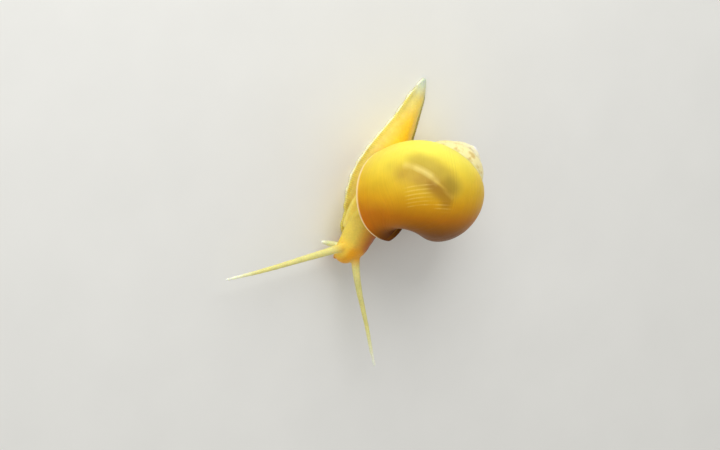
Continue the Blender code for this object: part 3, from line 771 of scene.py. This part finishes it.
mouth = {
    "middle": (-1.4, -21.75, 1.85),
    "lean": -20,
    "slit": (0.15, 0.5, 0.82),
    "lips": (0.45, 0.42, 0.72),
    "apart": 0.42,
    "sink": 0.2,
}
column = {
    "footMiddle": (-0.2, -5.4, 1.6),
    "halfWidth": 3.9,
    "halfLength": 6.6,
    "mouthShare": 0.86,
    "recessTurns": 0.03,
    "plugTurns": 0.022,
    "gap": 0.15,  # between the body and the inside of the shell
    "plugGap": 0.03,
    "ringSteps": 64,
}
feelers = {
    # route, root radius, tip radius and steps
    "tentacleRight": (
        (
            (-2.4, -18.2, 4.9), (-5.1, -20.3, 5.3), (-8.1, -22.3, 5.7), (-12.0, -25.0, 6.0),
            (-15.8, -27.7, 6.2), (-19.2, -30.15, 6.2), (-22.4, -32.4, 6.0), (-25.5, -34.55, 5.8),
        ), 0.95, 0.27, 150,
    ),
    "tentacleLeft": (
        (
            (-0.6, -18.6, 5.0), (0.3, -20.8, 5.5), (1.5, -23.0, 6.0), (2.7, -24.6, 6.2), (4.3, -26.5, 6.3),
            (6.5, -28.85, 6.3), (9.2, -31.65, 6.2), (12.3, -35.1, 6.1), (14.85, -37.65, 6.0),
        ), 0.95, 0.27, 150,
    ),
    "palpRight": (
        ((-1.8, -20.2, 2.2), (-3.3, -19.65, 2.3), (-5.2, -19.8, 2.45), (-7.0, -20.15, 2.5)),
        1.15, 0.3, 40,
    ),
    "palpLeft": (
        ((-1.5, -20.8, 2.2), (0.2, -21.1, 2.0), (1.4, -20.95, 1.9), (2.6, -20.4, 2.0)),
        0.8, 0.3, 40,
    ),
    "stalkRight": (
        ((-2.6, -19.6, 4.0), (-3.75, -19.95, 4.05), (-4.55, -20.48, 3.85), (-4.98, -20.8, 3.74)),
        0.8, 0.5, 24,
    ),
    "stalkLeft": (
        ((-0.4, -19.6, 4.0), (0.75, -19.95, 4.05), (1.55, -20.48, 3.85), (1.98, -20.8, 3.74)),
        0.8, 0.5, 24,
    ),
    "foldRight": (
        ((-2.6, -8.6, 8.0), (-3.9, -10.8, 6.6), (-3.95, -13.0, 5.2), (-3.3, -15.2, 4.2)),
        0.9, 0.5, 40,
    ),
    "skirtRight": (
        ((-2.4, -7.5, 2.9), (-3.3, -10.5, 2.7), (-3.35, -13.2, 2.5), (-2.9, -15.8, 2.2)),
        1.5, 0.8, 40,
    ),
    "skirtLeft": (
        ((2.3, -7.5, 2.7), (2.3, -10.5, 2.6), (1.7, -13.2, 2.4), (0.9, -15.8, 2.1)),
        1.3, 0.8, 40,
    ),
    "foldLeft": (
        ((2.4, -8.6, 7.6), (2.75, -10.8, 6.2), (2.5, -13.2, 4.9), (1.5, -15.4, 4.1)),
        1.1, 0.5, 40,
    ),
}
skinBuild = {
    "feelerSides": 20,
    "taper": 0.8,
    "tipLeast": 0.02,
    "voxel": 0.155,
    "creaseRounds": 70,
    "creasePace": 0.8,
    "creaseKeep": 0.0022,  # gentler hollows than this stay
    "normalRounds": 5,
    "softRounds": 3,
    "softPace": 0.5,
    "uneven": 0.035,
    "unevenSize": 1.1,
    "finer": (0.5, 2.3),  # strength and pace of the smaller swellings
    "soleFade": (0.1, 0.8),
}


def footHeight(reach, across):
    half = readCurve(foot["halfWidths"], reach)
    height = readCurve(foot["heights"], reach)
    margin = np.minimum(foot["margin"], height)
    brim = np.minimum(foot["brim"], foot["brimShare"] * half)
    inward = np.clip((half - np.abs(across) - brim) / (half - brim), 0, 1)
    return margin + (height - margin) * np.sin(np.pi / 2 * inward) ** foot["fullness"]


def makeFoot():
    def place(along, around):
        reach = foot["length"] * (along - foot["endRows"] * np.sin(fullTurn * along))
        half = readCurve(foot["halfWidths"], reach)
        where, depth, width = foot["notch"]
        notch = depth * bell(where, width, reach)
        x = half * np.cos(fullTurn * around)
        phase = fullTurn * foot["frillWaves"] * reach / foot["length"]
        phase = phase + np.where(x < 0, -foot["frillPhase"], foot["frillPhase"])
        share = x / half
        wave = foot["frill"] * np.sin(phase) * share**5 - notch * share**3
        back = around <= 0.5
        edge = np.where(back, 1.0, foot["inset"])
        z = np.where(back, footHeight(reach, x), 0.0)
        middle = readCurve(foot["middles"], reach)
        return np.stack([middle + (x + wave) * edge, foot["tailReach"] - reach, z], 1) * mm

    return rollSheet("foot", place, rows=230, sides=120)


def makeNeck():
    def place(along, around):
        x, y, z, halfWidth, halfHeight, lean = readRows(neck, along * (len(neck) - 1))
        across = halfWidth * np.cos(fullTurn * around)
        upward = halfHeight * np.sin(fullTurn * around)
        lean = np.radians(lean)
        return np.stack([x + across, y - upward * np.sin(lean), z + upward * np.cos(lean)], 1) * mm

    return rollSheet("neck", place, rows=120, sides=72)


def mouthRing(around):
    # edge of the opening that the body comes out of, a little behind the lip
    turn = np.full_like(around, -column["recessTurns"])
    return tubePoints(turn, around, -(shell["wall"] + column["gap"]) * np.ones_like(around))


def makeColumn():
    def place(along, around):
        mouthEdge = mouthRing(around * fullTurn)
        middle = mouthRing(np.linspace(0, fullTurn, column["ringSteps"], endpoint=False)).mean(0)
        high = middle + (mouthEdge - middle) * column["mouthShare"]
        angle = np.arctan2(high[:, 1] - middle[1], high[:, 0] - middle[0])
        across, length = column["halfWidth"] * np.cos(angle), column["halfLength"] * np.sin(angle)
        oval = np.stack([across, length, np.zeros_like(angle)], 1)
        low = np.array(column["footMiddle"]) * mm + oval * mm
        share = along[:, None]
        point = high + (low - high) * np.sin(np.pi / 2 * share)
        point[:, 2] = high[:, 2] + (low[:, 2] - high[:, 2]) * along
        return point

    return rollSheet("column", place, rows=80, sides=140)


def makePlug():
    # soft body that fills the mouth of the shell, a little behind the lip
    def place(along, around):
        turn = -column["recessTurns"] - column["plugTurns"] * (1 - along)
        return tubePoints(turn, around * fullTurn, -(shell["wall"] + column["plugGap"]) * np.ones_like(turn))

    return rollSheet("plug", place, rows=10, sides=140)


def routePoints(route, count):
    return np.stack(readRows(route, np.linspace(0, len(route) - 1, count)), 1)


def feelerRadius(rootRadius, tipRadius, share):
    return rootRadius + (tipRadius - rootRadius) * share ** skinBuild["taper"]


def routeLength(line):
    return np.linalg.norm(np.diff(line, axis=0), axis=1).sum()


def makeFeeler(name, route, rootRadius, tipRadius, steps):
    # round tube along the route, thinner towards a rounded tip
    line = routePoints(route, steps + 1)
    length = routeLength(line)
    ahead = np.gradient(line, axis=0)
    ahead /= np.linalg.norm(ahead, axis=1)[:, None]
    side = np.cross(ahead, (0, 0, 1))
    side /= np.linalg.norm(side, axis=1)[:, None]
    over = np.cross(side, ahead)

    def place(along, around):
        row = np.clip(np.round(along * steps).astype(int), 0, steps)
        left = np.clip((1 - along) * length / tipRadius, 0, 1)
        rounded = np.sqrt(np.clip(1 - (1 - left) ** 2, skinBuild["tipLeast"], 1))
        radius = feelerRadius(rootRadius, tipRadius, along) * rounded
        ring = side[row] * np.cos(fullTurn * around)[:, None] + over[row] * np.sin(fullTurn * around)[:, None]
        return (line[row] + ring * radius[:, None]) * mm

    return rollSheet(name, place, rows=steps, sides=skinBuild["feelerSides"])


def mouthBall(name, shift, sizes):
    build = bmesh.new()
    place = Matrix.Translation((Vector(mouth["middle"]) + Vector(shift)) * mm)
    place @= Matrix.Rotation(math.radians(mouth["lean"]), 4, "X")
    place @= Matrix.Diagonal((*(Vector(sizes) * mm), 1))
    bmesh.ops.create_uvsphere(build, u_segments=32, v_segments=20, radius=1, matrix=place)
    return meshFrom(build, name)


def joinMeshes(name, meshes):
    build = bmesh.new()
    for mesh in meshes:
        build.from_mesh(mesh)
        bpy.data.meshes.remove(mesh)
    return meshFrom(build, name)


def applyModifier(piece, kind, **settings):
    modifier = piece.modifiers.new(kind, kind)
    for name, value in settings.items():
        setattr(modifier, name, value)
    graph = bpy.context.evaluated_depsgraph_get()
    mesh = bpy.data.meshes.new_from_object(piece.evaluated_get(graph))
    piece.modifiers.clear()
    piece.data = mesh


def neighbourMeans(mesh):
    # function that gives each point the mean of its neighbours
    edges = np.empty(len(mesh.edges) * 2, dtype=np.int64)
    mesh.edges.foreach_get("vertices", edges)
    first, second = edges.reshape(-1, 2).T
    count = len(mesh.vertices)
    number = np.bincount(first, minlength=count) + np.bincount(second, minlength=count)
    number = np.maximum(number, 1)

    def mean(values):
        columns = [
            np.bincount(first, values[second, axis], count)
            + np.bincount(second, values[first, axis], count)
            for axis in range(values.shape[1])
        ]
        return np.stack(columns, 1) / number[:, None]

    return mean


def fillCreases(mesh):
    # sharp hollows between joined forms fill up until they are round
    mean = neighbourMeans(mesh)
    points = readVectors(mesh, "co")
    for step in range(skinBuild["creaseRounds"]):
        if step % skinBuild["normalRounds"] == 0:
            writePoints(mesh, points)
            normals = readVectors(mesh, "normal")
        bend = mean(points) - points
        hollow = (bend * normals).sum(1) - skinBuild["creaseKeep"] * mm
        points = points + normals * (skinBuild["creasePace"] * np.maximum(hollow, 0))[:, None]
    for step in range(skinBuild["softRounds"]):
        points = points + skinBuild["softPace"] * (mean(points) - points)
    points[:, 2] = np.maximum(points[:, 2], 0.0)
    writePoints(mesh, points)


def roughen(mesh):
    # small hollows and swellings all over, none at the sole
    points, normals = readVectors(mesh, "co"), readVectors(mesh, "normal")
    place = points / (skinBuild["unevenSize"] * mm)
    strength, pace = skinBuild["finer"]
    lift = [noise.noise(Vector(spot)) + strength * noise.noise(Vector(spot) * pace) for spot in place]
    share = ease(*skinBuild["soleFade"], points[:, 2] / mm)
    writePoints(mesh, points + normals * (skinBuild["uneven"] * mm * np.array(lift) * share)[:, None])


def cutMouth(skin):
    slit = addObject("slit", mouthBall("slit", (0, 0, 0), mouth["slit"]))
    applyModifier(skin, "BOOLEAN", operation="DIFFERENCE", solver="MANIFOLD", object=slit)
    bpy.data.objects.remove(slit)


def makeSkin():
    parts = [makeFoot(), makeNeck(), makeColumn(), makePlug()]
    parts += [makeFeeler(name, *sizes) for name, sizes in feelers.items()]
    for side in (-1, 1):
        parts.append(mouthBall("lip", (side * mouth["apart"], mouth["sink"], 0), mouth["lips"]))
    skin = addObject("snailSkin", joinMeshes("snailSkin", parts))
    applyModifier(skin, "REMESH", mode="VOXEL", voxel_size=skinBuild["voxel"] * mm)
    fillCreases(skin.data)
    roughen(skin.data)
    cutMouth(skin)
    shadeSmooth(skin.data)
    return skin


skinPaint = {
    # neck and head: pale on the right side, warm in the middle, and a painted shade, brown, on the left
    # towards the shell
    "neckShadeStops": (
        (-3.0, srgb(236, 210, 88)), (-1.6, srgb(230, 174, 56)), (0.2, srgb(200, 112, 16)),
        (2.0, srgb(140, 72, 4)),
    ),
    "neckSkew": (0.1, -15.0),  # how the stops shift towards the head, and from where
    "flesh": srgb(240, 214, 104),
    # "across" is a share of the foot's half width, more to the left, and "out" is the same on either side
    "footLayers": (
        (srgb(250, 214, 84), 1, ("out", 0.75, 0.2, 0)),  # core
        (srgb(246, 198, 28), 0.85, ("y", 13, 6, 0), ("y", -8, 0, 0), ("across", -0.85, -0.3, 0)),  # amber
        (srgb(222, 208, 116), 1, ("y", 7.5, 12.5, 0), ("across", 0.5, -0.6, 0.35)),  # tail
        (srgb(240, 222, 116), 0.8, ("out", 0.66, 0.9, 0)),  # margin
        (srgb(198, 210, 190), 1, ("y", 12, 16.8, 0)),  # tip of the tail
        (srgb(255, 252, 214), 0.85, ("out", 0.93, 0.985, 0), ("z", 0, 0.3, 0), ("z", 1.5, 0.9, 0),
         ("y", -12.5, -8, 0)),  # thin edge
    ),
    "isFoot": (("z", 3.3, 2.7, 0), ("y", -17.8, -17.2, 0)),
    "ribs": (("out", 0.72, 0.9, 0), ("z", 1.5, 0.9, 0)),
    "headLayers": (
        (srgb(238, 168, 8), 1, ("y", -17.6, -19.6, 0)),  # snout
        (srgb(252, 216, 76), 0.85, ("y", -16.8, -18.6, 0), ("x", -2.1, -3.4, 0),
         ("z", 2.6, 4.2, 0.35)),  # beside the right feeler, painted light where the head turns from the lamps
    ),
    "feeler": srgb(220, 214, 138),
    "feelerRoot": (0.06, 0.2),  # shares of its length
    "palp": srgb(220, 228, 182),
    "palpRoot": (0.06, 0.55),
    "feelerTip": srgb(238, 242, 222),
    "feelerEnd": (0.7, 1.0),
    "feelerSkin": (1.25, 1.9),  # radii from its middle
    "feelerSteps": 160,
    "feelerReach": 2,
    "lipLayers": ((srgb(214, 122, 40), 0.75, ("lips", 1.15, 0.55, 0)),),
    "lipOval": (0.7, 2, -20.9),  # height and length against width, and the front of the lips
    "slit": srgb(96, 36, 16),
    "slitShare": 0.9,
    "slitHalf": 0.2,
    "slitHeight": (0.7, 1.1),
    "slitMiddle": 1.75,
    "slitFront": -21.2,
    "lastLayers": (
        (srgb(236, 206, 120), 1, ("facing", -0.4, -0.8, 0), ("z", 0.6, 0.2, 0)),  # sole
        # painted shade: dark brown on the body under the shell's lower lip
        (srgb(140, 72, 4), 0.9, ("mantle", 4.5, 2, 0)),
    ),
    "mantle": ((-0.03, 196), (-0.03, 215), (-0.03, 235), (-0.03, 256)),  # turn and degrees of the painted shade under the lower lip
    "ringPitch": 0.34,
    "ringDepth": 0.35,
    "ribPitch": 0.4,
    "grooveLeast": 0.01,
}
skinFinish = {
    "specks": (2600, 4, 0.94, 1.05),  # scale, detail, lowest and highest
    "mottle": (420, 4, 0.93, 1.05),
    "roughness": (420, 4, 0.34, 0.5),
    "grooveTone": 0.08,
    "grooveBump": (0.4, 0.04),  # strength, and depth in mm
    "wrinkles": (700, 5),
    "wrinkleBump": (0.35, 0.12),
    "pores": 2200,
    "poreBump": (0.25, 0.03),
    "constants": {
        "Specular IOR Level": 0.28,
        "Subsurface Weight": 0.6,
        "Subsurface Radius": (1.0, 0.8, 0.35),
        "Subsurface Scale": 0.0011,
        "Coat Weight": 0.12,
        "Coat Roughness": 0.2,
    },
}


def paintFeelers(colour, points):
    # the feelers have rings all along
    paint = skinPaint
    rings, depth = np.zeros(len(points)), np.zeros(len(points))
    for name, (route, rootRadius, tipRadius, steps) in feelers.items():
        if not name.startswith(("tentacle", "palp")):
            continue
        kind = "palp" if name.startswith("palp") else "feeler"
        line = routePoints(route, paint["feelerSteps"])
        apart, share = nearLine(points, line, paint["feelerReach"])
        away = apart / feelerRadius(rootRadius, tipRadius, share)
        belongs = (1 - ease(*paint["feelerSkin"], away)) * ease(*paint[kind + "Root"], share)
        tint = blendColours(paint[kind], paint["feelerTip"], ease(*paint["feelerEnd"], share))
        colour = blendColours(colour, tint, belongs)
        isOn = belongs > paint["grooveLeast"]
        rings = np.where(isOn, share * routeLength(line) / paint["ringPitch"], rings)
        depth = np.maximum(depth, paint["ringDepth"] * belongs)
    return colour, rings, depth


def paintSlit(colour, x, y, z):
    paint = skinPaint
    slit = bell(mouth["middle"][0], paint["slitHalf"], x) * (y < paint["slitFront"])
    slit = slit * (1 - ease(*paint["slitHeight"], np.abs(z - paint["slitMiddle"])))
    return blendColours(colour, paint["slit"], paint["slitShare"] * slit)


def paintSkin(skin):
    paint = skinPaint
    mesh = skin.data
    points, normals = readVectors(mesh, "co") / mm, readVectors(mesh, "normal")
    x, y, z = points.T
    reach = foot["tailReach"] - y
    across = (x - readCurve(foot["middles"], reach)) / readCurve(foot["halfWidths"], reach)
    tall, deep, front = paint["lipOval"]
    side, height = x - mouth["middle"][0], z - mouth["middle"][2]
    measures = {
        "x": x, "y": y, "z": z, "across": across, "out": np.abs(across), "facing": normals[:, 2],
        "lips": np.hypot(side, tall * height) + deep * np.maximum(y - front, 0),
        "mantle": nearMark(points * mm, paint["mantle"]),
    }
    skew, start = paint["neckSkew"]
    # painted shade, brown, on the neck's left side towards the shell
    colour = colourStops(paint["neckShadeStops"], x + skew * np.maximum(y - start, 0))
    flesh = np.tile(paint["flesh"], (len(points), 1))
    isFoot = shareOf(paint["isFoot"], measures)
    colour = blendColours(colour, addLayers(flesh, paint["footLayers"], measures), isFoot)
    colour = addLayers(colour, paint["headLayers"], measures)
    colour, grooves, depth = paintFeelers(colour, points)
    colour = addLayers(colour, paint["lipLayers"], measures)
    colour = paintSlit(colour, x, y, z)
    keepColour(mesh, "paint", addLayers(colour, paint["lastLayers"], measures))
    ribs = isFoot * shareOf(paint["ribs"], measures)
    isRib = ribs > paint["grooveLeast"]
    keepNumber(mesh, "grooves", np.where(isRib, y / paint["ribPitch"], grooves))
    keepNumber(mesh, "grooveDepth", np.maximum(depth, ribs))


def skinMaterial():
    material, tree, shader, place = startMaterial("wetSkin")
    finish = skinFinish
    wave = multiply(tree, addWave(tree, addAttribute(tree, "grooves")), addAttribute(tree, "grooveDepth"))
    specks = addTone(tree, place, *finish["specks"])
    tone = multiply(tree, specks, addTone(tree, place, *finish["mottle"]))
    tone = addMath(tree, "ADD", tone, multiply(tree, wave, finish["grooveTone"]))
    wrinkles = addNoise(tree, place, *finish["wrinkles"])
    pores = addNode(tree, "TexVoronoi", "Distance", {"Vector": place, "Scale": finish["pores"]})
    normal = addBump(tree, wave, *finish["grooveBump"])
    normal = addBump(tree, wrinkles, *finish["wrinkleBump"], Normal=normal)
    normal = addBump(tree, pores, *finish["poreBump"], Normal=normal)
    setInputs(tree, shader, {
        "Base Color": scaleColour(tree, addAttribute(tree, "paint", "Color"), tone),
        "Normal": normal,
        "Roughness": addTone(tree, place, *finish["roughness"]),
        **finish["constants"],
    })
    return material


hardNodes = ("shell", "operculum", "eye_left", "eye_right")
fleshNodes = [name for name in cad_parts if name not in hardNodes]
snailSkin = makeSkin()
paintSkin(snailSkin)
snailSkin.data.materials.clear()
snailSkin.data.materials.append(skinMaterial())
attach(snailSkin, "root")
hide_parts(*fleshNodes)
print("skin ready:", len(snailSkin.data.polygons), "faces")


# Eyes: a dark pupil that looks forwards and outwards, in a pale golden ring
eye = {
    "pupil": srgb(16, 10, 7),
    "ring": srgb(236, 190, 84),
    "back": srgb(226, 184, 92),
    "pupilEdge": 0.62,
    "ringEdge": 0.38,
    "ringFade": 0.1,
    "pupilFade": 0.04,
    "looks": {"right": (-0.75, -0.6, 0.28), "left": (0.75, -0.6, 0.28)},
    "flecks": (5200, 4, -0.025, 0.025),  # scale, detail, lowest and highest
    "finish": {"Roughness": 0.12, "Coat Weight": 1.0, "Coat Roughness": 0.03},
}


def makeEye(side):
    low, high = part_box("eye_" + side)
    build = bmesh.new()
    place = Matrix.Translation((low + high) / 2)
    bmesh.ops.create_icosphere(build, subdivisions=5, radius=(high.x - low.x) / 2, matrix=place)
    mesh = meshFrom(build, side + "Eye")
    shadeSmooth(mesh)
    facing = readVectors(mesh, "normal") @ np.array(Vector(eye["looks"][side]).normalized())
    keepNumber(mesh, "facing", facing)
    ball = addObject(side + "Eye", mesh)
    mesh.materials.append(eyeMaterial(side + "EyeBall"))
    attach(ball, "root")
    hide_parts("eye_" + side)


def eyeMaterial(name):
    material, tree, shader, place = startMaterial(name)
    flecks = addTone(tree, place, *eye["flecks"])
    facing = addMath(tree, "ADD", addAttribute(tree, "facing"), flecks)
    ramp = tree.nodes.new("ShaderNodeValToRGB")
    stops = ramp.color_ramp.elements
    stops[0].position = eye["ringEdge"] - eye["ringFade"]
    stops[0].color = (*eye["back"], 1)
    stops[1].position = eye["pupilEdge"] + eye["pupilFade"]
    stops[1].color = (*eye["pupil"], 1)
    for edge in (eye["ringEdge"], eye["pupilEdge"] - eye["pupilFade"]):
        stops.new(edge).color = (*eye["ring"], 1)
    tree.links.new(facing, ramp.inputs["Fac"])
    setInputs(tree, shader, {"Base Color": ramp.outputs["Color"], **eye["finish"]})
    return material


for side in ("right", "left"):
    makeEye(side)
print("eyes ready")


# Trapdoor: a thin plate of horn with rings round its core, on the left of the foot's back
door = {
    "middle": (4.2, 2.8, 2.2),
    "lean": -14,  # degrees
    "halfLength": 2.3,
    "halfWidth": 2.55,
    "thickness": 0.5,
    "dome": 0.35,
    "core": (-0.55, 0.1),  # share of the half width and half length
    "ringCount": 9,
    "ringDepth": 0.05,
    "rows": 140,
    "sides": 96,
    "topShare": 0.7,  # of the rows
    "underShare": 0.3,
    "coreLeast": 0.001,
    "edgeThin": 0.98,
    "dark": srgb(112, 58, 16),
    "pale": srgb(196, 128, 48),
    "bands": (9, 5, 0.5),  # scale, detail and roughness
    "bandSpan": (0.35, 0.65),
    "bandBump": (0.5, 0.04),  # strength, and depth in mm
    "stain": (800, 4, 0.85, 1.1),  # scale, detail, lowest and highest
    "finish": {"Roughness": 0.38, "Coat Weight": 0.2},
}


def outFromCore(along):
    # from the core out to the edge on top, then back underneath
    top, under = door["topShare"], door["underShare"]
    return np.where(along < top, along / top, (1 - along) / under)


def makeDoor():
    def place(along, around):
        out = np.sin(np.pi / 2 * np.clip(outFromCore(along), door["coreLeast"], 1))
        across = door["core"][0] * (1 - out) + out * np.cos(fullTurn * around)
        length = door["core"][1] * (1 - out) + out * np.sin(fullTurn * around)
        arch = door["dome"] * (1 - np.clip(across**2 + length**2, 0, 1))
        rings = door["ringDepth"] * np.cos(fullTurn * door["ringCount"] * out) * (1 - out**6)
        half = door["thickness"] / 2
        rise = np.where(along < door["topShare"], half + rings, -half)
        rise = rise * np.sqrt(1 - door["edgeThin"] * out**12)
        local = np.stack([across * door["halfWidth"], length * door["halfLength"], arch + rise], 1)
        turned = Matrix.Rotation(math.radians(door["lean"]), 3, "Y")
        return (local @ np.array(turned).T + np.array(door["middle"])) * mm

    def numbers(along, around):
        return {"ring": outFromCore(along)}

    mesh = rollSheet("trapdoor", place, door["rows"], door["sides"], numbers)
    shadeSmooth(mesh)
    mesh.materials.append(hornMaterial())
    plate = addObject("trapdoor", mesh)
    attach(plate, "root")
    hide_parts("operculum")


def hornMaterial():
    material, tree, shader, place = startMaterial("doorHorn")
    bands = addBands(tree, addAttribute(tree, "ring"), *door["bands"])
    share = addRange(tree, bands, door["bandSpan"], 0, 1)
    stain = addTone(tree, place, *door["stain"])
    colour = mixColour(tree, share, door["dark"], door["pale"])
    setInputs(tree, shader, {
        "Base Color": scaleColour(tree, colour, stain),
        "Normal": addBump(tree, bands, *door["bandBump"]),
        **door["finish"],
    })
    return material


makeDoor()
print("trapdoor ready")
